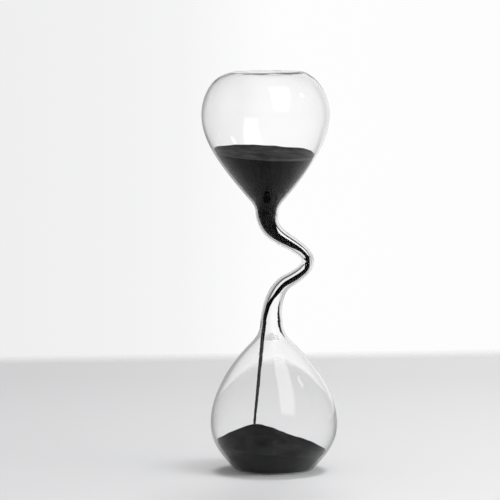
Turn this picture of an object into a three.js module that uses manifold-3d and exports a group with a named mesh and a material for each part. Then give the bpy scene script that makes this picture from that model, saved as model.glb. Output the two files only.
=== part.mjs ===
// Free-standing hourglass: two blown glass bulbs joined by a bent neck tube, holding black sand.
// Millimetres, +Z up. The origin is the middle of the outline's footprint, on the table.

import * as THREE from "three";
import { mergeVertices } from "three/addons/utils/BufferGeometryUtils.js";
import Module from "manifold-3d";

const wasm = await Module();
wasm.setup();

// ---------- sizes of the glass ----------

const axisOffset = 5.1; // the lower bulb stands this far to the right of the upper one
const wall = 1.3; // blown wall of both bulbs
const endGlass = 2.4; // the flat ends, where the glass gathers
const weldGap = 0.3; // between two pieces that the flame has run together

const upperBulb = {
  length: 84.5, // flat end to neck
  endRadius: 20.6,
  bellyRadius: 38.2,
  bellyDepth: 26.1, // flat end to the widest ring
  neckRadius: 6.9,
  rimAngle: 10, // how steeply the outline leaves the flat end, in degrees
  funnelRadius: 12.4, // where the flank turns into the neck
  funnelHeight: 9.8,
  funnelAngle: 40, // of the flank there, off upright, in degrees
  lean: 0.9, // how far the neck sits to the right of the bulb's axis
};

const lowerBulb = {
  length: 90,
  endRadius: 24,
  bellyRadius: 37.9,
  bellyDepth: 28,
  neckRadius: 6.6,
  rimAngle: 54,
  funnelRadius: 12.7,
  funnelHeight: 13.7,
  funnelAngle: 46,
  lean: -1.45,
};

// How far each curve of a bulb's outline runs straight on, as a share of the stretch it spans.
const rimPull = 0.5;
const shoulderPull = 0.53;
const flankPull = 0.36;
const throatPull = 0.44;

const upperNeck = 28.8; // height of the neck from its elbow to the upper bulb
const lowerNeck = 35.1; // and down to the lower one
const neckReach = 24.5; // middle of the elbow, to the right of the neck's upper end
const armReach = 12.2; // middle of both arms of the neck, to the right of that end
const armRise = 12; // that middle lies this far above the elbow, and below it
const armSlope = 30; // of both arms, below level, in degrees
const neckBend = 9.5; // length over which the tube leaves upright at each end
const armBend = 7.5; // length over which an arm starts to curve, either way from its middle
const elbowBend = 4.3; // length over which the elbow runs upright
const elbowRadius = 3.6; // outside of the drawn-out tube at the elbow
const armBore = 1.95; // radius of the bore in the arms
const orificeRadius = 1.1; // of the pinch at the elbow, which sets how fast the sand runs
const orificeLength = 2.6;
const tubeFlare = 1.8; // how late the tube widens towards its ends: 1 is a plain cone
const boreFlare = 2.4;

const fillRadius = 4; // hole in the base that the sand is poured through
const sealGap = 0.3;
const sealRecess = 0.3; // keeps the seal off the table
const sealShoulder = 0.7; // how far the seal's melted rim sinks below the floor of the bulb

// ---------- sizes of the sand ----------

const sandGap = 0.3; // between the sand and the glass, and between two lots of sand
const upperFill = 36; // sand still to run, from the upper bulb's neck to its top on the axis
const levelTilt = 4.4; // of that surface, in degrees
const tiltTowards = 40; // it falls away to the right and this far round to the front, in degrees
const crestHeight = 27; // top of the heap
const crestRounding = 4;
const repose = 24.5; // slope of the heap, in degrees
const crestOffset = 11.9; // the stream lands this far to the left of the lower bulb's axis
const streamTopRadius = 1;
const streamFootRadius = 0.5;

// Where the sand lies across the neck's bore, from the upper end down. Each line holds a share of the
// neck's length and the two edges of the sand, from -1 at the left wall to 1 at the right wall.
const sandInNeck = [
  [0, -1, 1],
  [0.12, -1, 1],
  [0.2, -1, 0.25],
  [0.42, -1, 0],
  [0.47, -1, 1],
  [0.49, -1, 1],
  [0.54, 0, 1],
  [0.7, 0, 1],
  [0.77, -0.45, 0.2],
  [0.84, -1, -0.4],
  [1, -1, -0.6],
];

// ---------- fineness ----------

const roundSides = 36;
const curveSteps = 5;
const neckSides = 14;
const neckSteps = 44;
const streamSides = 8;
const streamSteps = 12;

// ---------- places worked out from the sizes ----------

const elbowHeight = lowerBulb.length + weldGap + lowerNeck;
const upperLevel = elbowHeight + upperNeck + weldGap + upperFill;
const reachDifference = upperBulb.bellyRadius - lowerBulb.bellyRadius;

// Both flat ends are level, so that the hourglass can stand either way up.
upperBulb.axis = (reachDifference - axisOffset) / 2;
upperBulb.endZ = elbowHeight + upperNeck + weldGap + upperBulb.length;
upperBulb.into = -1; // from its flat end the upper bulb runs down
lowerBulb.axis = (reachDifference + axisOffset) / 2;
lowerBulb.endZ = 0;
lowerBulb.into = 1;

const crest = new THREE.Vector3(lowerBulb.axis - crestOffset, 0, crestHeight);

const radians = THREE.MathUtils.degToRad;
const neckEnd = (bulb) =>
  new THREE.Vector3(
    bulb.axis + bulb.lean,
    0,
    bulb.endZ + bulb.into * (bulb.length + weldGap),
  );

// ---------- glass ----------

const glass = new THREE.MeshStandardMaterial({
  color: 0xe6eef0,
  roughness: 0.04,
  metalness: 0,
  transparent: true,
  opacity: 0.35,
});
const sand = new THREE.MeshStandardMaterial({
  color: 0x29292a,
  roughness: 0.95,
  metalness: 0,
});

// A bulb's outline as [radius, depth below its flat end], moved in by inset, and by endInset at the end.
function bulbOutline(bulb, inset, endInset) {
  const { endRadius, bellyRadius, bellyDepth, neckRadius, length } = bulb;
  const rimReach = rimPull * (bellyRadius - endRadius);
  const rimAngle = radians(bulb.rimAngle);
  const funnelAngle = radians(bulb.funnelAngle);
  const funnelDepth = length - bulb.funnelHeight;
  const flankReach = flankPull * (funnelDepth - bellyDepth);
  const throatReach = throatPull * bulb.funnelHeight;
  const along = new THREE.Vector2(-Math.sin(funnelAngle), Math.cos(funnelAngle));

  const path = new THREE.Path();
  path.moveTo(endRadius, 0);
  path.bezierCurveTo(
    endRadius + rimReach * Math.cos(rimAngle),
    rimReach * Math.sin(rimAngle),
    bellyRadius,
    bellyDepth * (1 - shoulderPull),
    bellyRadius,
    bellyDepth,
  );
  path.bezierCurveTo(
    bellyRadius,
    bellyDepth + flankReach,
    bulb.funnelRadius - flankReach * along.x,
    funnelDepth - flankReach * along.y,
    bulb.funnelRadius,
    funnelDepth,
  );
  path.bezierCurveTo(
    bulb.funnelRadius + throatReach * along.x,
    funnelDepth + throatReach * along.y,
    neckRadius,
    length - throatReach,
    neckRadius,
    length,
  );

  const points = path.getPoints(curveSteps);
  const outline = points.map((point, i) => {
    const before = points[Math.max(i - 1, 0)];
    const after = points[Math.min(i + 1, points.length - 1)];
    const inwards = after.clone().sub(before).normalize();
    return [
      point.x - inset * inwards.y,
      Math.max(point.y + inset * inwards.x, endInset),
    ];
  });
  outline[outline.length - 1] = [neckRadius - inset, length];
  return outline;
}

// Turns a closed outline of [radius, depth] corners round the bulb's axis, and leans its throat.
function turned(bulb, outline) {
  const points = outline.map(
    ([radius, depth]) =>
      new THREE.Vector2(radius, bulb.endZ + bulb.into * depth),
  );
  if (THREE.ShapeUtils.area(points) < 0) points.reverse();
  const geometry = new THREE.LatheGeometry(points, roundSides);
  geometry.rotateX(Math.PI / 2);
  const position = geometry.getAttribute("position");
  for (let i = 0; i < position.count; i++) {
    const depth = bulb.into * (position.getZ(i) - bulb.endZ);
    const share = THREE.MathUtils.smoothstep(
      depth,
      bulb.bellyDepth,
      bulb.length,
    );
    position.setX(i, position.getX(i) + bulb.axis + bulb.lean * share);
  }
  return geometry;
}

// A blown shell, open at the neck and, with holeRadius, at the flat end.
function bulbGlass(bulb, holeRadius) {
  const outline = [
    [holeRadius, 0],
    ...bulbOutline(bulb, 0, 0),
    ...bulbOutline(bulb, wall, endGlass).reverse(),
    [holeRadius, endGlass],
  ];
  if (holeRadius > 0) outline.push(outline[0]);
  return turned(bulb, outline);
}

// The room that sand can take up in a bulb, as a solid.
function bulbRoom(bulb) {
  return turned(bulb, [
    [0, endGlass + sandGap],
    ...bulbOutline(bulb, wall + sandGap, endGlass + sandGap),
    [0, bulb.length],
  ]);
}

// The neck's middle line: out along one arm, round the elbow and back along the other.
function neckPath() {
  const top = neckEnd(upperBulb);
  const bottom = neckEnd(lowerBulb);
  const elbow = new THREE.Vector3(top.x + neckReach, 0, elbowHeight);
  const slope = radians(armSlope);
  const out = new THREE.Vector3(Math.cos(slope), 0, -Math.sin(slope));
  const back = new THREE.Vector3(-Math.cos(slope), 0, -Math.sin(slope));
  const down = new THREE.Vector3(0, 0, -1);
  const upperArm = new THREE.Vector3(top.x + armReach, 0, elbowHeight + armRise);
  const lowerArm = new THREE.Vector3(top.x + armReach, 0, elbowHeight - armRise);
  const moved = (point, direction, distance) =>
    point.clone().addScaledVector(direction, distance);
  const bends = [
    [top, down, neckBend, upperArm, out, armBend],
    [upperArm, out, armBend, elbow, down, elbowBend],
    [elbow, down, elbowBend, lowerArm, back, armBend],
    [lowerArm, back, armBend, bottom, down, neckBend],
  ];
  const path = new THREE.CurvePath();
  for (const [from, leaving, start, to, arriving, end] of bends) {
    path.add(
      new THREE.CubicBezierCurve3(
        from,
        moved(from, leaving, start),
        moved(to, arriving, -end),
        to,
      ),
    );
  }
  return path;
}

const neck = neckPath();
const elbowShare = neck.getCurveLengths()[1] / neck.getLength();

// The neck's outside radius and bore at a share of its length.
function neckRadii(share) {
  const upper = share < elbowShare;
  const bulb = upper ? upperBulb : lowerBulb;
  const spread = upper
    ? (elbowShare - share) / elbowShare
    : (share - elbowShare) / (1 - elbowShare);
  const endBore = bulb.neckRadius - wall;
  const offPinch = ((share - elbowShare) * neck.getLength()) / orificeLength;
  const pinch = (armBore - orificeRadius) * Math.exp(-(offPinch ** 2));
  return {
    outside: THREE.MathUtils.lerp(elbowRadius, bulb.neckRadius, spread ** tubeFlare),
    bore: THREE.MathUtils.lerp(armBore, endBore, spread ** boreFlare) - pinch,
  };
}

// A skin over rings of points that all have the same count. A looped skin runs from the last ring
// back to the first, and any other is closed by a flat cap at each end.
function skin(rings, looped) {
  const count = rings[0].length;
  const points = rings.flat();
  const index = [];
  const last = looped ? rings.length : rings.length - 1;
  for (let ring = 0; ring < last; ring++) {
    const here = ring * count;
    const next = ((ring + 1) % rings.length) * count;
    for (let i = 0; i < count; i++) {
      const j = (i + 1) % count;
      index.push(here + i, next + i, next + j, here + i, next + j, here + j);
    }
  }
  if (!looped) {
    const end = (rings.length - 1) * count;
    for (let i = 1; i < count - 1; i++) {
      index.push(0, i, i + 1);
      index.push(end, end + i + 1, end + i);
    }
  }
  const geometry = new THREE.BufferGeometry().setFromPoints(points);
  return geometry.setIndex(index);
}

// A ring of points across a path at a share of its length. shape gives, for an angle, how far the
// point lies to the path's right and how far back.
function ringAcross(path, share, sides, shape) {
  const middle = path.getPointAt(share);
  const along = path.getTangentAt(share);
  const right = new THREE.Vector3(-along.z, 0, along.x);
  return Array.from({ length: sides }, (_, i) => {
    const [across, back] = shape((2 * Math.PI * i) / sides);
    return middle
      .clone()
      .addScaledVector(right, across)
      .add(new THREE.Vector3(0, back, 0));
  });
}

const circle = (radius) => (angle) => [
  radius * Math.cos(angle),
  radius * Math.sin(angle),
];

function neckGlass() {
  const shares = Array.from({ length: neckSteps + 1 }, (_, i) => i / neckSteps);
  const outside = shares.map((share) =>
    ringAcross(neck, share, neckSides, circle(neckRadii(share).outside)),
  );
  const bore = shares.map((share) =>
    ringAcross(neck, share, neckSides, circle(neckRadii(share).bore)),
  );
  return skin([...outside, ...bore.reverse()], true);
}

// The melted drop that closes the fill hole: flat below, and rounded into the floor of the bulb.
function sealGlass() {
  const radius = fillRadius - sealGap;
  const drop = new THREE.Path();
  drop.moveTo(0, sealRecess);
  drop.lineTo(radius, sealRecess);
  drop.lineTo(radius, endGlass - sealShoulder);
  drop.quadraticCurveTo(radius, endGlass, 0, endGlass);
  const outline = drop.getPoints(curveSteps).map(({ x, y }) => [x, y]);
  return turned(lowerBulb, outline);
}

// ---------- sand ----------

// A closed geometry as a solid that can be cut, and back.
function solidOf(geometry) {
  const bare = geometry.clone();
  bare.deleteAttribute("normal");
  bare.deleteAttribute("uv");
  const merged = mergeVertices(bare, 1e-4);
  return new wasm.Manifold(
    new wasm.Mesh({
      numProp: 3,
      vertProperties: merged.getAttribute("position").array,
      triVerts: new Uint32Array(merged.getIndex().array),
    }),
  );
}

function geometryOf(solid) {
  const mesh = solid.getMesh();
  const geometry = new THREE.BufferGeometry();
  const positions = new THREE.BufferAttribute(mesh.vertProperties, 3);
  geometry.setAttribute("position", positions);
  geometry.setIndex(new THREE.BufferAttribute(mesh.triVerts, 1));
  return geometry;
}

// The sand still to run, below a surface that tilts about the bulb's axis.
function upperSand() {
  const down = new THREE.Vector3(0, 0, -1);
  down.applyAxisAngle(new THREE.Vector3(0, 1, 0), radians(levelTilt));
  down.applyAxisAngle(new THREE.Vector3(0, 0, 1), -radians(tiltTowards));
  const onSurface = new THREE.Vector3(upperBulb.axis, 0, upperLevel);
  const room = solidOf(bulbRoom(upperBulb));
  return geometryOf(room.trimByPlane(down.toArray(), down.dot(onSurface)));
}

// The heap below, with its crest where the stream lands.
function lowerSand() {
  const reach = 3 * lowerBulb.bellyRadius;
  const slope = Math.tan(radians(repose));
  const drop = (radius) =>
    slope * (Math.hypot(radius, crestRounding) - crestRounding);
  const points = [new THREE.Vector2(0, -drop(reach))];
  for (let i = 0; i <= 2 * curveSteps; i++) {
    const radius = reach * (1 - i / (2 * curveSteps)) ** 2;
    points.push(new THREE.Vector2(radius, crest.z - drop(radius)));
  }
  const heap = new THREE.LatheGeometry(points, roundSides);
  heap.rotateX(Math.PI / 2);
  heap.translate(crest.x, crest.y, 0);
  return geometryOf(solidOf(bulbRoom(lowerBulb)).intersect(solidOf(heap)));
}

// The two edges of the sand across the bore, at a share of the neck's length.
function sandEdges(share) {
  const next = sandInNeck.findIndex(([at]) => at >= share);
  const [from, ...start] = sandInNeck[Math.max(next - 1, 0)];
  const [to, ...end] = sandInNeck[next];
  const blend = THREE.MathUtils.smoothstep(share, from, to);
  return start.map((edge, i) => THREE.MathUtils.lerp(edge, end[i], blend));
}

function neckSand() {
  const rings = [];
  for (let i = 0; i <= neckSteps; i++) {
    const share = i / neckSteps;
    const radius = neckRadii(share).bore - sandGap;
    const [left, right] = sandEdges(share).map((edge) => edge * radius);
    const shape = (angle) => {
      const across = THREE.MathUtils.clamp(radius * Math.cos(angle), left, right);
      const room = Math.sqrt(Math.max(radius ** 2 - across ** 2, 0));
      const back = THREE.MathUtils.clamp(radius * Math.sin(angle), -room, room);
      return [across, back];
    };
    rings.push(ringAcross(neck, share, neckSides, shape));
  }
  return skin(rings, false);
}

// The thin stream, from the sand's edge at the neck's end to the crest of the heap.
function fallingStream() {
  const end = neckEnd(lowerBulb);
  const [left, right] = sandEdges(1);
  const middle = ((left + right) / 2) * (neckRadii(1).bore - sandGap);
  const top = new THREE.Vector3(end.x + middle, 0, end.z - sandGap);
  const foot = crest.clone().add(new THREE.Vector3(0, 0, sandGap));
  const path = new THREE.LineCurve3(top, foot);
  const rings = [];
  for (let i = 0; i <= streamSteps; i++) {
    const share = i / streamSteps;
    const radius = THREE.MathUtils.lerp(streamTopRadius, streamFootRadius, share);
    rings.push(ringAcross(path, share, streamSides, circle(radius)));
  }
  return skin(rings, false);
}

// ---------- the hourglass ----------

const hourglass = new THREE.Group();

function add(name, geometry, material) {
  const drawn = geometry.index ? geometry.toNonIndexed() : geometry;
  drawn.computeVertexNormals();
  const mesh = new THREE.Mesh(drawn, material);
  mesh.name = name;
  hourglass.add(mesh);
}

add("upper_bulb", bulbGlass(upperBulb, 0), glass);
add("neck_tube", neckGlass(), glass);
add("lower_bulb", bulbGlass(lowerBulb, fillRadius), glass);
add("base_seal", sealGlass(), glass);
add("upper_sand", upperSand(), sand);
add("neck_sand", neckSand(), sand);
add("falling_stream", fallingStream(), sand);
add("lower_sand", lowerSand(), sand);

export default hourglass;
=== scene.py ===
import math
from types import SimpleNamespace

import bpy
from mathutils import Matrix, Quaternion, Vector, noise


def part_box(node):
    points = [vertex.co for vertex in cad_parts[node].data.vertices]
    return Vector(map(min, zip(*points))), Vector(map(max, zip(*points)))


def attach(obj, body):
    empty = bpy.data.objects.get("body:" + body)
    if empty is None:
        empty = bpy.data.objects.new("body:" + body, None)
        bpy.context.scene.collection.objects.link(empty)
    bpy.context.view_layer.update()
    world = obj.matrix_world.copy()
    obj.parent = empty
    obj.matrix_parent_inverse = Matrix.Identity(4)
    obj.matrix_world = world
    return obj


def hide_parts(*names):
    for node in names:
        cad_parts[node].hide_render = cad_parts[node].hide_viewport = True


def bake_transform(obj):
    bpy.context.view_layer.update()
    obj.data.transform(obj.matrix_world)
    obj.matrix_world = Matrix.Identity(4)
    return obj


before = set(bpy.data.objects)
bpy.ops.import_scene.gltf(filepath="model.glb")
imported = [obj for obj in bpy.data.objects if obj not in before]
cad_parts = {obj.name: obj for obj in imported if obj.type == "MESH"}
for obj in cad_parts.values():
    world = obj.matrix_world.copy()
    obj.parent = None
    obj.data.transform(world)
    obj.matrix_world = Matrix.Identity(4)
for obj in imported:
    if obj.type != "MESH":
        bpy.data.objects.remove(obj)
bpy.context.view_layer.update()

mm = 0.001


# ---------- the glass ----------
# Two bulbs blown from borosilicate tube, and the thin bent tube between them, run together in the
# flame into one clear skin. Each end is pressed flat while it is hot, so it is a little wavy
# inside. The hole that the sand went in by is closed with a melted drop.

wall = 1.3 * mm

# How far each curve of a bulb's outline runs straight on, as a share of the stretch that it spans.
rim_pull = 0.5
shoulder_pull = 0.53
flank_pull = 0.36
throat_pull = 0.44


def blown_bulb(node, into, **shape):
    """The sizes of a bulb: its reach, from its solid, and the shape of its outline. Its outline is
    drawn from the flat end into the bulb, which is up if into is 1 and down if it is -1."""
    low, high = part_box(node)
    return SimpleNamespace(
        axis=(low.x + high.x) / 2,
        belly_radius=(high.y - low.y) / 2,
        length=high.z - low.z,
        end_z=high.z if into < 0 else low.z,
        into=into,
        **shape,
    )


upper_bulb = blown_bulb(
    "upper_bulb",
    into=-1,
    end_glass=1.5 * mm,  # thickness of the flat end
    end_rounding=1.8 * mm,  # of its corner inside, and rim_melt outside
    rim_melt=1.7 * mm,
    end_radius=20.6 * mm,
    belly_depth=26.1 * mm,  # from the flat end to the widest place
    neck_radius=6.9 * mm,
    rim_angle=10,  # degrees between the outline and the level, at the rim of the flat end
    funnel_radius=12.4 * mm,
    funnel_height=9.8 * mm,  # from the neck to where the outline turns in to it
    funnel_angle=40,  # degrees between the outline and the upright, there
    lean=0.9 * mm,  # of the throat, to the right
)
lower_bulb = blown_bulb(
    "lower_bulb",
    into=1,
    end_glass=0.7 * mm,
    end_rounding=1.8 * mm,
    rim_melt=1.6 * mm,
    end_radius=23.2 * mm,
    belly_depth=28 * mm,
    neck_radius=6.6 * mm,
    rim_angle=54,
    funnel_radius=12.7 * mm,
    funnel_height=13.7 * mm,
    funnel_angle=46,
    lean=-1.45 * mm,
)


def smooth_share(value, start, end):
    """How far value has come from start to end, from 0 to 1, with a soft beginning and end."""
    share = min(max((value - start) / (end - start), 0), 1)
    return share * share * (3 - 2 * share)


def cubic(a, b, c, d, steps):
    """Points along a cubic curve from a to d, without its first."""
    found = []
    for i in range(1, steps + 1):
        t = i / steps
        s = 1 - t
        found.append(a * s**3 + b * (3 * s * s * t) + c * (3 * s * t * t) + d * t**3)
    return found


def bulb_profile(bulb, inset, end_inset, melt):
    """(radius, depth) from the middle of the flat end to the neck, moved in from the outside by
    inset, and by end_inset at the flat end, whose rim is rounded by melt."""
    curve_steps = 26
    end_rings = 9
    melt_steps = 8
    rim = Vector((bulb.end_radius, 0))
    belly = Vector((bulb.belly_radius, bulb.belly_depth))
    funnel = Vector((bulb.funnel_radius, bulb.length - bulb.funnel_height))
    neck = Vector((bulb.neck_radius, bulb.length))
    rim_angle = math.radians(bulb.rim_angle)
    funnel_angle = math.radians(bulb.funnel_angle)
    rim_reach = rim_pull * (bulb.belly_radius - bulb.end_radius)
    rim_handle = rim_reach * Vector((math.cos(rim_angle), math.sin(rim_angle)))
    shoulder = Vector((0, shoulder_pull * bulb.belly_depth))
    flank_reach = flank_pull * (funnel.y - belly.y)
    throat_reach = throat_pull * bulb.funnel_height
    along = Vector((-math.sin(funnel_angle), math.cos(funnel_angle)))
    down = Vector((0, 1))
    outside = [rim]
    outside += cubic(rim, rim + rim_handle, belly - shoulder, belly, curve_steps)
    outside += cubic(
        belly, belly + flank_reach * down, funnel - flank_reach * along, funnel, curve_steps
    )
    outside += cubic(
        funnel, funnel + throat_reach * along, neck - throat_reach * down, neck, curve_steps
    )
    moved = []
    for i, point in enumerate(outside):
        before = outside[max(i - 1, 0)]
        after = outside[min(i + 1, len(outside) - 1)]
        way = (after - before).normalized()
        moved.append(point + inset * Vector((-way.y, way.x)))
    moved[-1] = Vector((bulb.neck_radius - inset, bulb.length))

    start = next(i for i, point in enumerate(moved) if point.y >= end_inset)
    corner = Vector((moved[start].x, end_inset))
    if start > 0:
        share = (end_inset - moved[start - 1].y) / (moved[start].y - moved[start - 1].y)
        corner = moved[start - 1].lerp(moved[start], share)
    flat_edge = corner - Vector((melt, 0))
    kept = start + 1
    while (moved[kept] - corner).length <= melt:
        kept += 1
    profile = [Vector((flat_edge.x * i / end_rings, end_inset)) for i in range(end_rings + 1)]
    for i in range(1, melt_steps):
        t = i / melt_steps
        profile.append(flat_edge.lerp(corner, t).lerp(corner.lerp(moved[kept], t), t))
    return profile + moved[kept:]


def bulb_rings(bulb, profile):
    """Level rings for a profile, as (middle, way on, radius), with the throat leaning sideways."""
    rings = []
    for radius, depth in profile:
        lean = bulb.lean * smooth_share(depth, bulb.belly_depth, bulb.length)
        middle = Vector((bulb.axis + lean, 0, bulb.end_z + bulb.into * depth))
        rings.append((middle, Vector((0, 0, -1)), radius))
    return rings


neck_low, neck_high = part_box("neck_tube")
elbow_radius = 3.6 * mm
elbow_rise = 35.1 * mm  # of the elbow, above the lower end of the neck
arm_reach = 12.2 * mm  # of the middle of each arm, to the right of the neck's upper end
arm_rise = 12 * mm  # of that middle, above the elbow or below it
arm_slope = math.radians(30)
neck_bend = 9.5 * mm  # how far the tube runs straight on at each end of the neck
arm_bend = 7.5 * mm
elbow_bend = 4.3 * mm
arm_bore = 2.2 * mm
orifice_radius = 1.1 * mm  # the pinch in the elbow, which sets how fast the sand runs
orifice_length = 2.6 * mm
tube_flare = 1.8  # the higher, the nearer to the bulbs the tube widens
bore_flare = 2.4


def neck_line():
    """The neck's middle line from the upper bulb down, as (point, way on, share of its length), the
    share at which its elbow lies, and its length."""
    steps = 34
    top = Vector((upper_bulb.axis + upper_bulb.lean, 0, neck_high.z))
    bottom = Vector((lower_bulb.axis + lower_bulb.lean, 0, neck_low.z))
    elbow = Vector((neck_high.x - elbow_radius, 0, neck_low.z + elbow_rise))
    upper_arm = Vector((top.x + arm_reach, 0, elbow.z + arm_rise))
    lower_arm = Vector((top.x + arm_reach, 0, elbow.z - arm_rise))
    down = Vector((0, 0, -1))
    out = Vector((math.cos(arm_slope), 0, -math.sin(arm_slope)))
    back = Vector((-out.x, 0, out.z))
    bends = (
        (top, down, neck_bend, upper_arm, out, arm_bend),
        (upper_arm, out, arm_bend, elbow, down, elbow_bend),
        (elbow, down, elbow_bend, lower_arm, back, arm_bend),
        (lower_arm, back, arm_bend, bottom, down, neck_bend),
    )
    points = [top]
    for start, leaving, pull, end, arriving, slack in bends:
        points += cubic(start, start + pull * leaving, end - slack * arriving, end, steps)
    walked = [0.0]
    for before, after in zip(points, points[1:]):
        walked.append(walked[-1] + (after - before).length)
    line = []
    for i, point in enumerate(points):
        way = (points[min(i + 1, len(points) - 1)] - points[max(i - 1, 0)]).normalized()
        line.append((point, way, walked[i] / walked[-1]))
    return line, walked[2 * steps] / walked[-1], walked[-1]


neck, elbow_share, neck_length = neck_line()


def neck_radii(share):
    """Outside and bore of the neck at a share of its length."""
    if share < elbow_share:
        bulb = upper_bulb
        spread = (elbow_share - share) / elbow_share
    else:
        bulb = lower_bulb
        spread = (share - elbow_share) / (1 - elbow_share)
    off_pinch = (share - elbow_share) * neck_length / orifice_length
    outside = elbow_radius + (bulb.neck_radius - elbow_radius) * spread**tube_flare
    bore = arm_bore + (bulb.neck_radius - wall - arm_bore) * spread**bore_flare
    return outside, bore - (arm_bore - orifice_radius) * math.exp(-(off_pinch**2))


wall_waver = 0.10 * mm  # of the inside of the wall, in or out, left by the blower's breath
wall_wave = 17 * mm
wavering_radius = 20 * mm  # narrower glass wavers less
end_waver = 0.35 * mm  # of the inside of a flat end, up or down
end_wave = 8 * mm
end_wavers_within = 9 * mm  # of its middle, and less from there to end_still_from
end_still_from = 25 * mm
end_depth = 6 * mm  # of the glass that wavers with the flat end


def wall_shift(point, radius):
    """How far the inside of the wall is shifted out, or in if negative, at a point of a ring."""
    reach = wall_waver * min(radius / wavering_radius, 1)
    return reach * noise.noise(point / wall_wave)


def end_shift(point, radius):
    """How far the inside of a flat end is shifted up, or down if negative, at such a point."""
    reach = end_waver * smooth_share(radius, end_still_from, end_wavers_within)
    return reach * noise.noise(point / end_wave + Vector((3, 7, 1)))


def ring_points(ring, sides, outline=None):
    """The points of one ring: a circle, or what outline makes of its (across, back)."""
    middle, way, radius = ring
    across = Vector((-way.z, 0, way.x))
    back = Vector((0, 1, 0))
    points = []
    for i in range(sides):
        angle = 2 * math.pi * i / sides
        x, y = radius * math.cos(angle), radius * math.sin(angle)
        if outline:
            x, y = outline(x, y)
        points.append(middle + x * across + y * back)
    return points


def skin(rings_of_points, inside_out=False):
    """Vertices and faces of a closed skin over rings that all have the same count of points."""
    sides = len(rings_of_points[0])
    vertices = [point for ring in rings_of_points for point in ring]
    faces = []
    for ring in range(len(rings_of_points) - 1):
        for i in range(sides):
            j = (i + 1) % sides
            here, under = ring * sides, (ring + 1) * sides
            faces.append((here + i, under + i, under + j, here + j))
    for ring in (0, len(rings_of_points) - 1):
        middle = sum(rings_of_points[ring], Vector()) / sides
        vertices.append(middle)
        hub = len(vertices) - 1
        for i in range(sides):
            j = (i + 1) % sides
            face = (ring * sides + i, ring * sides + j, hub)
            faces.append(face if ring == 0 else face[::-1])
    if inside_out:
        faces = [face[::-1] for face in faces]
    return vertices, faces


def new_piece(name, vertices, faces, smooth=True):
    """An object in the scene with a mesh of its own, smooth or faceted."""
    mesh = bpy.data.meshes.new(name)
    mesh.from_pydata(vertices, [], faces)
    mesh.validate()
    mesh.polygons.foreach_set("use_smooth", [smooth] * len(mesh.polygons))
    piece = bpy.data.objects.new(name, mesh)
    bpy.context.scene.collection.objects.link(piece)
    return piece


def outside_rings():
    """The rings of the outside of the whole glass, from the upper flat end to the base."""
    smallest = 0.05 * mm
    upper = bulb_profile(upper_bulb, 0, 0, upper_bulb.rim_melt)
    lower = bulb_profile(lower_bulb, 0, 0, lower_bulb.rim_melt)
    rings = bulb_rings(upper_bulb, upper[1:])
    rings += [(point, way, neck_radii(share)[0]) for point, way, share in neck]
    rings += bulb_rings(lower_bulb, lower[1:])[::-1]
    return [(middle, way, max(radius, smallest)) for middle, way, radius in rings]


def inside_rings(bulb, gap=0):
    """The rings of a bulb's inside wall, moved in by gap, from its flat end to its neck."""
    profile = bulb_profile(bulb, wall + gap, bulb.end_glass + gap, bulb.end_rounding)
    return bulb_rings(bulb, profile[1:])


def wavered(ring, sides, bulb=None):
    """The points of a ring of the inside wall, as the blower left it."""
    middle, _, radius = ring
    points = []
    for point in ring_points(ring, sides):
        outwards = (point - middle).normalized()
        point = point + wall_shift(point, radius) * outwards
        if bulb and abs(middle.z - bulb.end_z) < end_depth:
            point.z += end_shift(point, radius)
        points.append(point)
    return points


top_dip = 0.6 * mm  # the upper flat end is this much lower on its left side
top_ripple = 0.16 * mm
ripple_wave = 9 * mm
top_depth = 9 * mm  # the dip and the ripple fade out over this depth
foot_width = 0.8 * mm  # of the ring that the base stands on; inside it the base is a little hollow
foot_hollow = 0.15 * mm
foot_slope = 2 * mm
seal_radius = 3.7 * mm  # of the melted drop, which lies seal_recess deep in the base
seal_recess = 0.2 * mm
seal_slope = 1 * mm
flatness = 0.01 * mm  # glass that lies this close to the table is part of the flat base


def glass_skin():
    """Both bulbs and the neck as one piece, with the room inside them."""
    sides = 112
    top, bottom = upper_bulb.end_z, lower_bulb.end_z
    outside = []
    for ring in outside_rings():
        points = ring_points(ring, sides)
        radius = ring[-1]
        for point in points:
            flat = smooth_share(abs(point.z - top), top_depth, 0)
            across = (point.x - upper_bulb.axis) / (2 * upper_bulb.end_radius) - 0.5
            dip = top_dip * min(max(across, -1), 0) * flat
            point.z += dip + top_ripple * (noise.noise(point / ripple_wave) - 1) * flat
            if abs(point.z - bottom) < flatness:
                foot = lower_bulb.end_radius - lower_bulb.rim_melt - foot_width
                point.z += foot_hollow * smooth_share(radius, foot, foot - foot_slope)
                point.z += seal_recess * smooth_share(radius, seal_radius + seal_slope, seal_radius)
        outside.append(points)

    inside = [wavered(ring, sides, upper_bulb) for ring in inside_rings(upper_bulb)]
    bore = [(point, way, neck_radii(share)[1]) for point, way, share in neck]
    inside += [wavered(ring, sides) for ring in bore]
    inside += [wavered(ring, sides, lower_bulb) for ring in inside_rings(lower_bulb)[::-1]]

    vertices, faces = skin(outside)
    inner_vertices, inner_faces = skin(inside, inside_out=True)
    count = len(vertices)
    faces += [tuple(i + count for i in face) for face in inner_faces]
    return new_piece("glass_skin", vertices + inner_vertices, faces)


mix_a, mix_b, mixed = 6, 7, 2  # the colour sockets of a mix node


def shader_tree(owner):
    """Empties the node tree of a material, lamp or world, and gives a way to add a node and set it
    up in one go, and a way to join two nodes."""
    owner.use_nodes = True
    tree = owner.node_tree
    tree.nodes.clear()

    def add(kind, **settings):
        node = tree.nodes.new(kind)
        for name, value in settings.items():
            if name in node.inputs:
                node.inputs[name].default_value = value
            else:
                setattr(node, name, value)
        return node

    def join(out_node, out_name, in_node, in_name):
        tree.links.new(out_node.outputs[out_name], in_node.inputs[in_name])

    return add, join


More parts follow.
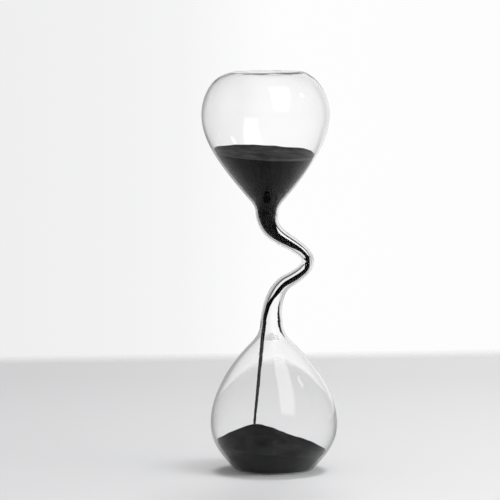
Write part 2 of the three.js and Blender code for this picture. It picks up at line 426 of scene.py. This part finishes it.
def ranged(add, start, end, low=0.0, high=1.0, eased=False):
    """A node that turns what runs from start to end into what runs from low to high."""
    node = add("ShaderNodeMapRange", interpolation_type="SMOOTHSTEP" if eased else "LINEAR")
    limits = {"From Min": start, "From Max": end, "To Min": low, "To Max": high}
    for name, value in limits.items():
        node.inputs[name].default_value = value
    return node


# The glass is painted grey-green towards its edges: partly its own tint, partly painted shade for
# the dark outlines that its surroundings give it.
glass_tint_and_edge_shade = (0.78, 0.79, 0.77, 1)
shadow_tint = (0.98, 0.985, 0.985, 1)
no_tint = (1.0, 1.0, 1.0, 1)
tube_tint_and_shade_share = 0.25  # of the tint, up to tube_reach above and below the middle of the neck
tube_reach = 24 * mm
bulb_reach = 40 * mm  # from there on the tint is full


def clear_glass():
    """Fire-polished glass: it bends light, keeps faint waves from the blowing, and lets lamps
    through. It is painted grey-green towards the edges of the bulbs, partly its own tint and partly
    painted shade for its dark outlines, and less where the tube is drawn out thin."""
    material = bpy.data.materials.new("clear_glass")
    add, join = shader_tree(material)
    place = add("ShaderNodeTexCoord")
    waves = add("ShaderNodeTexNoise", Scale=70.0, Detail=1.0)
    bump = add("ShaderNodeBump", Strength=0.05, Distance=0.4 * mm)
    join(place, "Object", waves, "Vector")
    join(waves, "Fac", bump, "Height")

    # Painted shade: the glass grows darker towards its grazing edges.
    edge = add("ShaderNodeLayerWeight", Blend=0.5)
    edge_tint_and_shade = add("ShaderNodeValToRGB")
    edge_tint_and_shade.color_ramp.elements[0].position = 0.55
    edge_tint_and_shade.color_ramp.elements[0].color = no_tint
    edge_tint_and_shade.color_ramp.elements[1].position = 1.0
    edge_tint_and_shade.color_ramp.elements[1].color = glass_tint_and_edge_shade
    join(edge, "Facing", edge_tint_and_shade, "Fac")

    height = add("ShaderNodeSeparateXYZ")
    join(place, "Object", height, "Vector")
    off_middle = add("ShaderNodeMath", operation="SUBTRACT")
    off_middle.inputs[1].default_value = (neck_low.z + neck_high.z) / 2
    join(height, "Z", off_middle, 0)
    either_way = add("ShaderNodeMath", operation="ABSOLUTE")
    join(off_middle, "Value", either_way, 0)
    drawn_out = ranged(add, tube_reach, bulb_reach, tube_tint_and_shade_share, eased=True)
    join(either_way, "Value", drawn_out, "Value")
    depth_of_tint_and_shade = add("ShaderNodeMix", data_type="RGBA")
    depth_of_tint_and_shade.inputs[mix_a].default_value = no_tint
    join(drawn_out, "Result", depth_of_tint_and_shade, "Factor")
    join(edge_tint_and_shade, "Color", depth_of_tint_and_shade, mix_b)

    glass = add("ShaderNodeBsdfPrincipled", IOR=1.47, Roughness=0.0)
    glass.inputs["Transmission Weight"].default_value = 1.0
    glass.inputs["Specular Tint"].default_value = (0.25, 0.25, 0.25, 1)
    join(depth_of_tint_and_shade, mixed, glass, "Base Color")
    join(bump, "Normal", glass, "Normal")

    rays = add("ShaderNodeLightPath")
    lighting = add("ShaderNodeMath", operation="MAXIMUM")
    join(rays, "Is Shadow Ray", lighting, 0)
    join(rays, "Is Diffuse Ray", lighting, 1)
    shade = add("ShaderNodeBsdfTransparent", Color=shadow_tint)
    mix = add("ShaderNodeMixShader")
    join(lighting, "Value", mix, 0)
    join(glass, "BSDF", mix, 1)
    join(shade, "BSDF", mix, 2)
    out = add("ShaderNodeOutputMaterial")
    join(mix, "Shader", out, "Surface")
    return material


glass = glass_skin()
glass.data.materials.append(clear_glass())
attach(glass, "glass")
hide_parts("upper_bulb", "neck_tube", "lower_bulb", "base_seal")


# ---------- the sand still to run ----------
# Fine dry black sand in the upper bulb. It has settled with a grainy top that falls away to the
# right and the front, and below that it takes the shape of the glass. It is cut from a tall plug
# that sinks.

hairline = 0.08 * mm  # air between the sand and the glass
sand_blue = 1.02  # its blue, as a share of its red and its green
# The edge of the sand's top is painted lighter, as if lit, from edge_foot below the top up to
# edge_full.
edge_foot = 1.7 * mm  # the pale edge starts this deep below the surface, and is full at edge_full
edge_full = 1.0 * mm


def sand_finish(name, lightness, contrast, top_light=1.0, rim=None):
    """Black grains of uneven shine, with a few grey ones, over soft darker and lighter drifts. What
    lies level is painted lighter, in patches, as if lit from above, by a given factor. rim is the
    plane (way up, height) of an edge below the top that is painted as light as the top."""
    material = bpy.data.materials.new(name)
    add, join = shader_tree(material)
    place = add("ShaderNodeTexCoord")
    grains = add("ShaderNodeTexVoronoi", Scale=2600.0)
    clumps = add("ShaderNodeTexNoise", Scale=520.0, Detail=4.0, Roughness=0.62)
    drifts = add("ShaderNodeTexNoise", Scale=45.0, Detail=2.0)
    top_light_mottle = add("ShaderNodeTexNoise", Scale=110.0, Detail=5.0, Roughness=0.75)
    for pattern in (grains, clumps, drifts, top_light_mottle):
        join(place, "Object", pattern, "Vector")

    grain_tone = add("ShaderNodeValToRGB")
    stops = grain_tone.color_ramp.elements
    for stop, shade in zip(stops, (lightness / contrast, lightness * contrast**2)):
        stop.color = (shade, shade, shade * sand_blue, 1)
    stops[0].position, stops[1].position = 0.0, 1.0
    most = stops.new(0.75)
    most.color = (lightness, lightness, lightness * sand_blue, 1)
    join(grains, "Color", grain_tone, "Fac")

    clump_tone = ranged(add, 0.3, 0.7, 0.62, 1.35)
    join(clumps, "Fac", clump_tone, "Value")
    drift_tone = ranged(add, 0.3, 0.7, 0.85, 1.12)
    join(drifts, "Fac", drift_tone, "Value")
    uneven = add("ShaderNodeMath", operation="MULTIPLY")
    join(clump_tone, "Result", uneven, 0)
    join(drift_tone, "Result", uneven, 1)

    # Painted light: faces that point up are made lighter, in patches, as if lit from above.
    facing = add("ShaderNodeNewGeometry")
    upright = add("ShaderNodeSeparateXYZ")
    join(facing, "True Normal", upright, "Vector")
    level = ranged(add, 0.5, 0.8, eased=True)
    join(upright, "Z", level, "Value")
    top_light_patches = ranged(add, 0.35, 0.65, top_light * 0.3, top_light * 1.8)
    join(top_light_mottle, "Fac", top_light_patches, "Value")
    lit_top = add("ShaderNodeMix", data_type="FLOAT", A=1.0)
    join(level, "Result", lit_top, "Factor")
    join(top_light_patches, "Result", lit_top, "B")
    # Painted light: the side just under the top edge is made lighter, like the top.
    if rim:
        way_up, height = rim
        above = add("ShaderNodeVectorMath", operation="DOT_PRODUCT")
        above.inputs[1].default_value = way_up
        join(place, "Object", above, 0)
        foot, full = height - edge_foot, height - edge_full
        lit_edge = ranged(add, foot, full, 1.0, top_light * 1.6, eased=True)
        join(above, "Value", lit_edge, "Value")
        join(lit_edge, "Result", lit_top, "A")
    lit_tone = add("ShaderNodeMath", operation="MULTIPLY")
    join(uneven, "Value", lit_tone, 0)
    join(lit_top, "Result", lit_tone, 1)
    tone = add("ShaderNodeMix", data_type="RGBA", blend_type="MULTIPLY", Factor=1.0)
    join(grain_tone, "Color", tone, mix_a)
    join(lit_tone, "Value", tone, mix_b)

    rough = ranged(add, 0.0, 1.0, 0.55, 0.95)
    join(grains, "Distance", rough, "Value")
    standing = add("ShaderNodeMath", operation="ADD")
    join(grains, "Distance", standing, 0)
    join(clumps, "Fac", standing, 1)
    bump = add("ShaderNodeBump", Strength=0.25, Distance=0.2 * mm)
    join(standing, "Value", bump, "Height")

    sand = add("ShaderNodeBsdfPrincipled")
    sand.inputs["Specular IOR Level"].default_value = 0.0
    join(tone, mixed, sand, "Base Color")
    join(rough, "Result", sand, "Roughness")
    join(bump, "Normal", sand, "Normal")
    out = add("ShaderNodeOutputMaterial")
    join(sand, "BSDF", out, "Surface")
    return material


def room_in(bulb, name):
    """The inside of a bulb as a hidden solid that cuts the sand to its shape."""
    sides = 112
    rings = [wavered(ring, sides, bulb) for ring in inside_rings(bulb, hairline)]
    room = new_piece(name, *skin(rings, inside_out=bulb.into > 0))
    room.hide_render = True
    room.hide_viewport = True
    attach(room, "glass")
    return room


def plug(name, middle, reach, foot, surface):
    """A tall round body of sand with the given surface, which reaches down to foot."""
    rings, sides = 64, 128
    steps = []
    for i in range(1, rings + 1):
        radius = reach * i / rings
        ring = []
        for j in range(sides):
            angle = 2 * math.pi * j / sides
            x = middle.x + radius * math.cos(angle)
            y = middle.y + radius * math.sin(angle)
            ring.append(Vector((x, y, surface(x, y))))
        steps.append(ring)
    steps.append([Vector((point.x, point.y, foot)) for point in steps[-1]])
    vertices, faces = skin(steps)
    return new_piece(name, vertices, faces, smooth=False)


def cut_to(piece, room):
    """Keeps only the sand that lies inside the glass, at every pose."""
    cut = piece.modifiers.new("glass", "BOOLEAN")
    cut.operation = "INTERSECT"
    cut.solver = "MANIFOLD"
    cut.object = room


def grainy(x, y, width, height):
    """How far the grains stand up in clumps of a width, up to a height."""
    return height * noise.noise(Vector((x, y, 0)) / width)


def mound(distance, width, height):
    """How high a low round mound stands at a distance from its middle."""
    return height * math.exp(-((distance / width) ** 2))


clump_width = 1.1 * mm  # of the grains on the top of the sand
clump_height = 0.14 * mm
upper_fill = 36.3 * mm  # of sand above the bulb's neck, on the bulb's axis
upper_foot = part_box("upper_sand")[0].z
level_tilt = math.radians(4.4)
tilt_towards = math.radians(40)  # to the right, and this far round to the front
upper_drift_width = 6 * mm
upper_drift_height = 0.35 * mm
swell_right = 18 * mm  # of the bulb's axis lies a low swell, and swell_back behind it
swell_back = 15 * mm
swell_width = 10 * mm
swell_height = 1.3 * mm


def upper_level(x, y):
    """The height of the top of the upper sand."""
    across = x - upper_bulb.axis
    down_to = across * math.cos(tilt_towards) - y * math.sin(tilt_towards)
    level = upper_foot + upper_fill - math.tan(level_tilt) * down_to
    from_swell = math.hypot(across - swell_right, y - swell_back)
    clumps = grainy(x, y, clump_width, clump_height)
    drifts = grainy(x, y, upper_drift_width, upper_drift_height)
    return level + mound(from_swell, swell_width, swell_height) + (clumps + drifts)


downhill = math.tan(level_tilt) * Vector((math.cos(tilt_towards), -math.sin(tilt_towards)))
# The plane of the upper sand's top, under whose edge the sand is painted lighter as if lit.
rim_line = (
    (downhill.x, downhill.y, 1.0),
    upper_foot + upper_fill + downhill.x * upper_bulb.axis,
)
# The upper sand's top is painted much lighter, as if lit from above.
black_sand = sand_finish("black_sand", lightness=0.003, contrast=1.25, top_light=9.5, rim=rim_line)

upper_room = room_in(upper_bulb, "upper_room")
upper_sand = plug(
    "sand_to_run",
    Vector((upper_bulb.axis, 0)),
    upper_bulb.belly_radius,
    neck_low.z,
    upper_level,
)
cut_to(upper_sand, upper_room)
upper_sand.data.materials.append(black_sand)
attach(upper_sand, "sand_to_run")
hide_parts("upper_sand")


# ---------- the sand in the neck ----------
# The same sand on its way down the bent tube. It fills the bore by the upper bulb, slides down
# both arms, chokes at the pinch in the elbow, and leaves the tube by its left wall.

# A share of the neck's length, and the two edges of the sand there, from -1 at the left wall to 1
# at the right.
sand_in_neck = (
    (0, -1, 1),
    (0.09, -1, 1),
    (0.18, -0.85, 0.42),
    (0.31, -0.75, 0.4),
    (0.37, -0.4, 0.45),
    (0.43, -0.3, 0.45),
    (0.475, -1, 1),
    (0.49, -1, 1),
    (0.54, 0, 0.95),
    (0.63, -0.15, 0.9),
    (0.74, -0.2, 0.5),
    (0.79, -0.3, 0.4),
    (0.84, -0.55, -0.05),
    (0.9, -0.9, -0.35),
    (1, -1, -0.6),
)


def sand_edges(share):
    """The two edges of the sand across the bore at a share of the neck's length."""
    for (start, *before), (end, *after) in zip(sand_in_neck, sand_in_neck[1:]):
        if share <= end:
            part = (share - start) / (end - start)
            return [a + (b - a) * part for a, b in zip(before, after)]
    return list(sand_in_neck[-1][1:])


edge_wobble = 0.04  # of an edge that doesn't rest on the wall, as a share of the bore's radius
wobbles = 25  # along the neck
on_the_wall = 0.99


def neck_sand_rings():
    """The bore of the neck at each station, filled from the one edge of the sand to the other."""
    sides = 40
    rings = []
    for point, way, share in neck:
        radius = neck_radii(share)[1] - hairline
        wobble = edge_wobble * noise.noise(Vector((share * wobbles, 0, 5)))
        left, right = (edge * radius for edge in sand_edges(share))
        left += wobble * radius * (left > -on_the_wall * radius)
        right += wobble * radius * (right < on_the_wall * radius)

        def held(x, y, left=left, right=right, radius=radius):
            x = min(max(x, left), right)
            room = math.sqrt(max(radius * radius - x * x, 0))
            return x, min(max(y, -room), room)

        rings.append(ring_points((point, way, radius), sides, held))
    return rings


packed_sand = sand_finish("packed_sand", lightness=0.003, contrast=1.15)
neck_sand = new_piece("sand_in_neck", *skin(neck_sand_rings()))
neck_sand.data.materials.append(packed_sand)
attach(neck_sand, "glass")
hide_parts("neck_sand")


# ---------- the sand left on the glass ----------
# Fine grains that cling to the dry walls of the bore: a line along the top of each arm, and a dark
# wisp down the right wall, from the end of the lower arm into the throat of the lower bulb.

bore_stations = [(point, way, neck_radii(share)[1]) for point, way, share in neck]
throat_stations = inside_rings(lower_bulb)[::-1]
end_fullness = 0.02  # of a line of grains, where it runs out
patchiness = 0.25
patches_along = 14


def clinging(name, stations, side, half_angle, thickness):
    """A thin band of grains, fine at both ends, on the right wall (side 1) or the left one (-1)."""
    across = 8
    rings = []
    for i, (middle, way, radius) in enumerate(stations):
        share = i / (len(stations) - 1)
        fullness = max(math.sin(math.pi * share), end_fullness) ** 0.5
        patch = noise.noise(Vector((share * patches_along, thickness / mm, 3)))
        fullness *= 1 + patchiness * patch
        steps = [2 * j / across - 1 for j in range(across + 1)]
        angles = [half_angle * fullness * step for step in steps]
        depths = [thickness * fullness * (1 - step**2) for step in steps]
        band = [(angle, hairline) for angle in angles]
        band += [(angles[j], hairline + depths[j]) for j in range(across - 1, 0, -1)]
        right = Vector((-way.z, 0, way.x))
        ring = []
        for angle, depth in band:
            reach = (radius - depth) * Vector((side * math.cos(angle), math.sin(angle)))
            ring.append(middle + reach.x * right + Vector((0, reach.y, 0)))
        rings.append(ring)
    piece = new_piece(name, *skin(rings, inside_out=side < 0))
    piece.data.materials.append(packed_sand)
    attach(piece, "glass")


elbow_z = neck_low.z + elbow_rise


def off_elbow(stations, high, low):
    """The stations from high down to low, both above the elbow, or below it if negative."""
    return [station for station in stations if low <= station[0].z - elbow_z <= high]


over_upper_arm = off_elbow(bore_stations, 23.6 * mm, 0)
over_lower_arm = off_elbow(bore_stations, 0, -29.4 * mm)
down_the_throat = off_elbow(bore_stations + throat_stations, -22.4 * mm, -46.4 * mm)
clinging("grains_over_upper_arm", over_upper_arm, side=1, half_angle=0.62, thickness=0.45 * mm)
clinging("grains_over_lower_arm", over_lower_arm, side=-1, half_angle=0.6, thickness=0.2 * mm)
clinging("grains_in_the_throat", down_the_throat, side=1, half_angle=0.7, thickness=0.7 * mm)


# ---------- the falling stream ----------
# A thread of grains that leaves the neck off the left wall and draws thinner as it falls, a little
# to the left, onto the crest of the heap.

stream_low, stream_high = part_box("falling_stream")
stream_top_radius = 1.2 * mm
stream_foot_radius = 0.7 * mm
stream_taper = 1.3  # the higher, the nearer to its foot it thins
into_neck_sand = 0.2 * mm
into_heap = 0.6 * mm
sway = 0.12 * mm  # of the stream to the left and right, in this many sways
sways = 9
raggedness = 0.28  # of its sides, in clumps of ragged_width
ragged_width = 0.9 * mm
still_packed = 9 * mm  # from its top, before the grains spread apart
parting_width = 0.7 * mm  # of the clumps in which they do


def stream_rings():
    """The rings of the stream, and its top and foot."""
    steps, sides = 120, 20
    top = Vector((stream_high.x - stream_top_radius, 0, stream_high.z + into_neck_sand))
    foot = Vector((stream_low.x + stream_foot_radius, 0, stream_low.z - into_heap))
    thinning = stream_foot_radius - stream_top_radius
    rings = []
    for i in range(steps + 1):
        share = i / steps
        radius = stream_top_radius + thinning * share**stream_taper
        middle = top.lerp(foot, share)
        middle.x += sway * noise.noise(Vector((share * sways, 0, 0)))
        ring = []
        for point in ring_points((middle, (foot - top).normalized(), radius), sides):
            outwards = point - middle
            ring.append(middle + outwards * (1 + raggedness * noise.noise(point / ragged_width)))
        rings.append(ring)
    return rings, top, foot


stream_points, stream_start, stream_end = stream_rings()
stream = new_piece("falling_stream_of_sand", *skin(stream_points))
stream.data.materials.append(sand_finish("loose_sand", lightness=0.045, contrast=1.5))
stream.data.materials.append(packed_sand)
for face in stream.data.polygons:
    packed_reach = still_packed * (1 + noise.noise(face.center / parting_width))
    if (stream_start - face.center).length < packed_reach:
        face.material_index = 1
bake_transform(stream)
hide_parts("falling_stream")


# ---------- the heap below ----------
# Sand that has run: a low cone with its crest under the stream, steeper on the left, with a hollow
# and a slumped shoulder on the right. Below its foot it takes the shape of the bulb.

heap_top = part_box("lower_sand")[1].z
crest_shift = 1.2 * mm  # of the crest, to the right of where the stream lands
crest_rounding = 6.5 * mm
left_slope = math.tan(math.radians(27))
right_slope = math.tan(math.radians(24))
slump_place = Vector((31 * mm, -3 * mm))  # from the crest
slump_width = 8 * mm
slump_height = 2.1 * mm
hollow_place = Vector((19 * mm, 2 * mm))
hollow_width = 6 * mm
hollow_depth = 0.5 * mm
heap_drift_width = 5 * mm
heap_drift_height = 0.5 * mm
heap_plug_depth = 20 * mm  # below the base, so that the plug still fills the bulb as it rises
least_reach = 0.001 * mm  # from the crest, where the heap has no side


def heap_level(x, y):
    """The height of the surface of the heap."""
    away = Vector((x - (stream_end.x + crest_shift), y))
    side = 0.5 + 0.5 * away.x / max(away.length, least_reach)
    slope = left_slope + (right_slope - left_slope) * side
    level = heap_top - slope * (math.hypot(away.length, crest_rounding) - crest_rounding)
    level += mound((away - slump_place).length, slump_width, slump_height)
    level -= mound((away - hollow_place).length, hollow_width, hollow_depth)
    level += grainy(x, y, clump_width, clump_height)
    return level + grainy(x, y, heap_drift_width, heap_drift_height)


lower_room = room_in(lower_bulb, "lower_room")
heap = plug(
    "sand_run",
    Vector((lower_bulb.axis, 0)),
    lower_bulb.belly_radius,
    lower_bulb.end_z - heap_plug_depth,
    heap_level,
)
cut_to(heap, lower_room)
# Painted light: the heap is the same black sand, painted lighter to stand in for the light that its
# sides, facing the table, don't get.
heap.data.materials.append(sand_finish("heaped_sand_painted_lighter", lightness=0.017, contrast=1.25, top_light=0.8))
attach(heap, "sand_run")
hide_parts("lower_sand")


# ---------- the table and the studio ----------
# A pale matt table that ends half a metre behind the hourglass, before a white backdrop. A tall
# soft box stands to the right of the camera, a smaller one and a strip stand further to the right,
# and one hangs above and behind.

table_front, table_back, table_half = -4.0, 0.512, 5.0
table_askew = 0.114  # its far edge runs this much further off for each length to the right
table_soft_edge = 0.028
# Painted light: the table is painted lighter to the right, where more light falls, and lighter
# towards the front. It is painted darker where the glass mirrors it.
table_left = (0.62, 0.62, 0.628, 1)
table_right = (0.70, 0.70, 0.705, 1)
table_blend = 0.25  # the one colour turns into the other from this far left to this far right
table_far, table_near = 0.4, -0.12  # it grows lighter from the one to the other
far_shade, near_shade = 0.87, 1.09
mirrored_table = 0.6  # how light it is as a reflection in the glass


def table_top():
    """A flat top that goes on past the soft far edge, where its finish lets it fade away."""
    corners = [
        Vector((-table_half, table_front, 0)),
        Vector((table_half, table_front, 0)),
        Vector((table_half, table_back + table_askew * table_half + table_soft_edge, 0)),
        Vector((-table_half, table_back - table_askew * table_half + table_soft_edge, 0)),
    ]
    return new_piece("table_top", corners, [(0, 1, 2, 3)], smooth=False)


def table_finish():
    """A matt pale grey, painted lighter to the right and to the front and painted darker where the
    glass mirrors it, that fades away at the far edge.
    """
    material = bpy.data.materials.new("pale_table")
    add, join = shader_tree(material)
    place = add("ShaderNodeTexCoord")
    parts = add("ShaderNodeSeparateXYZ")
    join(place, "Object", parts, "Vector")
    # Painted light from the right, and below it painted light towards the front.
    painted_side_light = ranged(add, -table_blend, table_blend, eased=True)
    join(parts, "X", painted_side_light, "Value")
    colour = add("ShaderNodeMix", data_type="RGBA")
    colour.inputs[mix_a].default_value = table_left
    colour.inputs[mix_b].default_value = table_right
    join(painted_side_light, "Result", colour, "Factor")
    rays = add("ShaderNodeLightPath")
    mirrored = ranged(add, 0.0, 1.0, 1.0, mirrored_table)
    join(rays, "Glossy Depth", mirrored, "Value")
    painted_front_light = ranged(add, table_far, table_near, far_shade, near_shade)
    join(parts, "Y", painted_front_light, "Value")
    share = add("ShaderNodeMath", operation="MULTIPLY")
    join(mirrored, "Result", share, 0)
    join(painted_front_light, "Result", share, 1)
    tone = add("ShaderNodeMix", data_type="RGBA", blend_type="MULTIPLY", Factor=1.0)
    join(colour, mixed, tone, mix_a)
    join(share, "Value", tone, mix_b)
    matt = add("ShaderNodeBsdfPrincipled", Roughness=0.7)
    matt.inputs["Specular IOR Level"].default_value = 0.2
    join(tone, mixed, matt, "Base Color")

    off_edge = add("ShaderNodeVectorMath", operation="DOT_PRODUCT")
    off_edge.inputs[1].default_value = (-table_askew, 1, 0)
    join(place, "Object", off_edge, 0)
    edge = ranged(add, table_back - table_soft_edge, table_back + table_soft_edge, eased=True)
    join(off_edge, "Value", edge, "Value")
    gone = add("ShaderNodeBsdfTransparent")
    mix = add("ShaderNodeMixShader")
    join(edge, "Result", mix, 0)
    join(matt, "BSDF", mix, 1)
    join(gone, "BSDF", mix, 2)
    out = add("ShaderNodeOutputMaterial")
    join(mix, "Shader", out, "Surface")
    return material


table = table_top()
table.data.materials.append(table_finish())


# The greys of the studio, as (degrees to the right of the back, grey): the backdrop behind the
# glass, the room as the glass mirrors it, and the light that falls on what is matt.
backdrop_greys = (
    (-180, 0.93),
    (-70, 0.93),
    (-42, 0.9),
    (-22, 0.5),
    (-14, 0.42),
    (-8, 0.86),
    (-4, 0.865),
    (-1.63, 0.896),
    (-0.85, 0.96),
    (-0.2, 0.985),
    (1, 0.985),
    (4, 0.98),
    (14, 0.96),
    (24, 0.9),
    (50, 0.8),
    (80, 0.93),
    (180, 0.93),
)
room_greys = (
    (-180, 0.03),
    (-130, 0.05),
    (-90, 0.15),
    (-42, 0.45),
    (-15, 0.42),
    (-8, 0.86),
    (4, 0.97),
    (14, 0.96),
    (24, 0.9),
    (50, 0.6),
    (90, 0.15),
    (130, 0.05),
    (180, 0.03),
)
matt_greys = (
    (-180, 0.65),
    (-120, 0.8),
    (-90, 1.05),
    (-60, 0.9),
    (-30, 0.75),
    (30, 0.85),
    (60, 1.4),
    (90, 2.1),
    (120, 1.5),
    (180, 0.65),
)
studio_blue = 1.004
ceiling_light = 0.2  # of the room as the glass mirrors it, as a share of its light lower down
low_matt_light, high_matt_light = 2.3, 0.4  # from near the table's level, and from overhead


def tone_round(add, join, around, greys):
    """A grey that changes with the way that a ray goes."""
    ramp = add("ShaderNodeValToRGB")
    ramp.color_ramp.interpolation = "EASE"
    join(around, "Result", ramp, "Fac")
    elements = ramp.color_ramp.elements
    elements.remove(elements[-1])
    for i, (degrees, grey) in enumerate(greys):
        position = (degrees + 180) / 360
        element = elements[0] if i == 0 else elements.new(position)
        element.position = position
        element.color = (grey, grey, grey * studio_blue, 1)
    return ramp


def studio():
    """The light from all round, which differs for what is seen straight or through the glass, what
    the glass mirrors, and what falls on matt things."""
    world = bpy.data.worlds.new("studio")
    bpy.context.scene.world = world
    add, join = shader_tree(world)
    place = add("ShaderNodeTexCoord")
    parts = add("ShaderNodeSeparateXYZ")
    join(place, "Generated", parts, "Vector")
    angle = add("ShaderNodeMath", operation="ARCTAN2")
    join(parts, "X", angle, 0)
    join(parts, "Y", angle, 1)
    around = ranged(add, -math.pi, math.pi)
    join(angle, "Value", around, "Value")
    backdrop = tone_round(add, join, around, backdrop_greys)
    room = tone_round(add, join, around, room_greys)
    glow = tone_round(add, join, around, matt_greys)

    rays = add("ShaderNodeLightPath")
    mirrored = add("ShaderNodeMath", operation="GREATER_THAN")
    mirrored.inputs[1].default_value = 0.5
    join(rays, "Glossy Depth", mirrored, 0)
    through = add("ShaderNodeMath", operation="SUBTRACT", use_clamp=True)
    join(rays, "Is Transmission Ray", through, 0)
    join(mirrored, "Value", through, 1)
    straight = add("ShaderNodeMath", operation="MAXIMUM")
    join(rays, "Is Camera Ray", straight, 0)
    join(through, "Value", straight, 1)
    ambient = add("ShaderNodeMix", data_type="RGBA")
    join(rays, "Is Diffuse Ray", ambient, "Factor")
    join(room, "Color", ambient, mix_a)
    join(glow, "Color", ambient, mix_b)
    seen = add("ShaderNodeMix", data_type="RGBA")
    join(straight, "Value", seen, "Factor")
    join(ambient, mixed, seen, mix_a)
    join(backdrop, "Color", seen, mix_b)

    ceiling = ranged(add, 0.45, 0.85, 1.0, ceiling_light, eased=True)
    join(parts, "Z", ceiling, "Value")
    overhead = add("ShaderNodeMix", data_type="FLOAT", B=1.0)
    join(straight, "Value", overhead, "Factor")
    join(ceiling, "Result", overhead, "A")
    low_light = ranged(add, 0.1, 0.5, low_matt_light, high_matt_light, eased=True)
    join(parts, "Z", low_light, "Value")
    strength = add("ShaderNodeMix", data_type="FLOAT")
    join(rays, "Is Diffuse Ray", strength, "Factor")
    join(overhead, "Result", strength, "A")
    join(low_light, "Result", strength, "B")
    light = add("ShaderNodeBackground")
    join(seen, mixed, light, "Color")
    join(strength, "Result", light, "Strength")
    out = add("ShaderNodeOutputWorld")
    join(light, "Background", out, "Surface")


studio()


def fade_to_edges(data, fade):
    """Dims a lamp towards its edges, over a share of its width and height."""
    add, join = shader_tree(data)
    place = add("ShaderNodeNewGeometry")
    parts = add("ShaderNodeSeparateXYZ")
    join(place, "Parametric", parts, "Vector")
    both = add("ShaderNodeMath", operation="MULTIPLY")
    for i, way in enumerate("XY"):
        centred = add("ShaderNodeMath", operation="SUBTRACT")
        centred.inputs[1].default_value = 0.5
        join(parts, way, centred, 0)
        off_centre = add("ShaderNodeMath", operation="ABSOLUTE")
        join(centred, "Value", off_centre, 0)
        share = ranged(add, 0.5 - fade, 0.5, 1.0, 0.0, eased=True)
        join(off_centre, "Value", share, "Value")
        join(share, "Result", both, i)
    glow = add("ShaderNodeEmission")
    join(both, "Value", glow, "Strength")
    out = add("ShaderNodeOutputLight")
    join(glow, "Emission", out, "Surface")


mirrored_fade = 0.18  # of the width and height of a lamp, so that it has soft edges in the glass


def soft_box(name, place, towards, size, watts, mirrored, lean=0.0):
    """A lamp of a width and a height, unseen itself. It shows in the glass if mirrored, and
    otherwise lights what is matt."""
    data = bpy.data.lights.new(name, "AREA")
    data.shape = "RECTANGLE"
    data.size, data.size_y = size
    data.energy = watts
    if mirrored:
        fade_to_edges(data, mirrored_fade)
    lamp = bpy.data.objects.new(name, data)
    lamp.location = place
    aimed = (Vector(towards) - Vector(place)).to_track_quat("-Z", "Y")
    lamp.rotation_euler = (aimed @ Quaternion((0, 0, 1), lean)).to_euler()
    lamp.visible_camera = False
    lamp.visible_diffuse = not mirrored
    lamp.visible_glossy = lamp.visible_transmission = mirrored
    bpy.context.scene.collection.objects.link(lamp)


tall_box_place = (0.50, -0.75, 0.94)
low_box_place = (1.3, -0.45, 0.8)
side_strip_place = (0.95, -0.1, 0.88)
overhead_place = (0.05, 0.68, 1.3)
low_on_glass = (0, 0, 0.06)
lean = math.radians(-13)
soft_box("tall_box", tall_box_place, low_on_glass, (0.76, 1.52), 24.0, mirrored=True, lean=lean)
soft_box(
    "tall_box_on_matt", tall_box_place, low_on_glass, (0.4, 0.8), 1.5, mirrored=False, lean=lean
)
soft_box("low_box_on_matt", low_box_place, (0, 0, 0), (0.6, 0.6), 9.0, mirrored=False)
soft_box("side_strip", side_strip_place, (0, 0, 0.12), (0.14, 0.2), 0.6, mirrored=True)
soft_box("overhead_box", overhead_place, (0, 0, 0.05), (0.5, 0.5), 10.0, mirrored=False)


# ---------- the camera ----------
# A long lens, two metres before the hourglass and a little above it, looking slightly down at it.

bends_of_light = 24  # through the many walls of glass before a ray is given up

camera_data = bpy.data.cameras.new("camera")
camera_data.lens = 256.2
camera_data.sensor_width = 36.0
camera_data.clip_end = 50.0
camera = bpy.data.objects.new("camera", camera_data)
camera.location = (0, -2.11, 0.35)
aim = Vector((-11.6 * mm, 0, 132.1 * mm))
camera.rotation_euler = (aim - camera.location).to_track_quat("-Z", "Y").to_euler()
bpy.context.scene.collection.objects.link(camera)
bpy.context.scene.camera = camera

scene = bpy.context.scene
scene.view_settings.view_transform = "Standard"
scene.cycles.max_bounces = bends_of_light
scene.cycles.transmission_bounces = bends_of_light
scene.cycles.transparent_max_bounces = bends_of_light
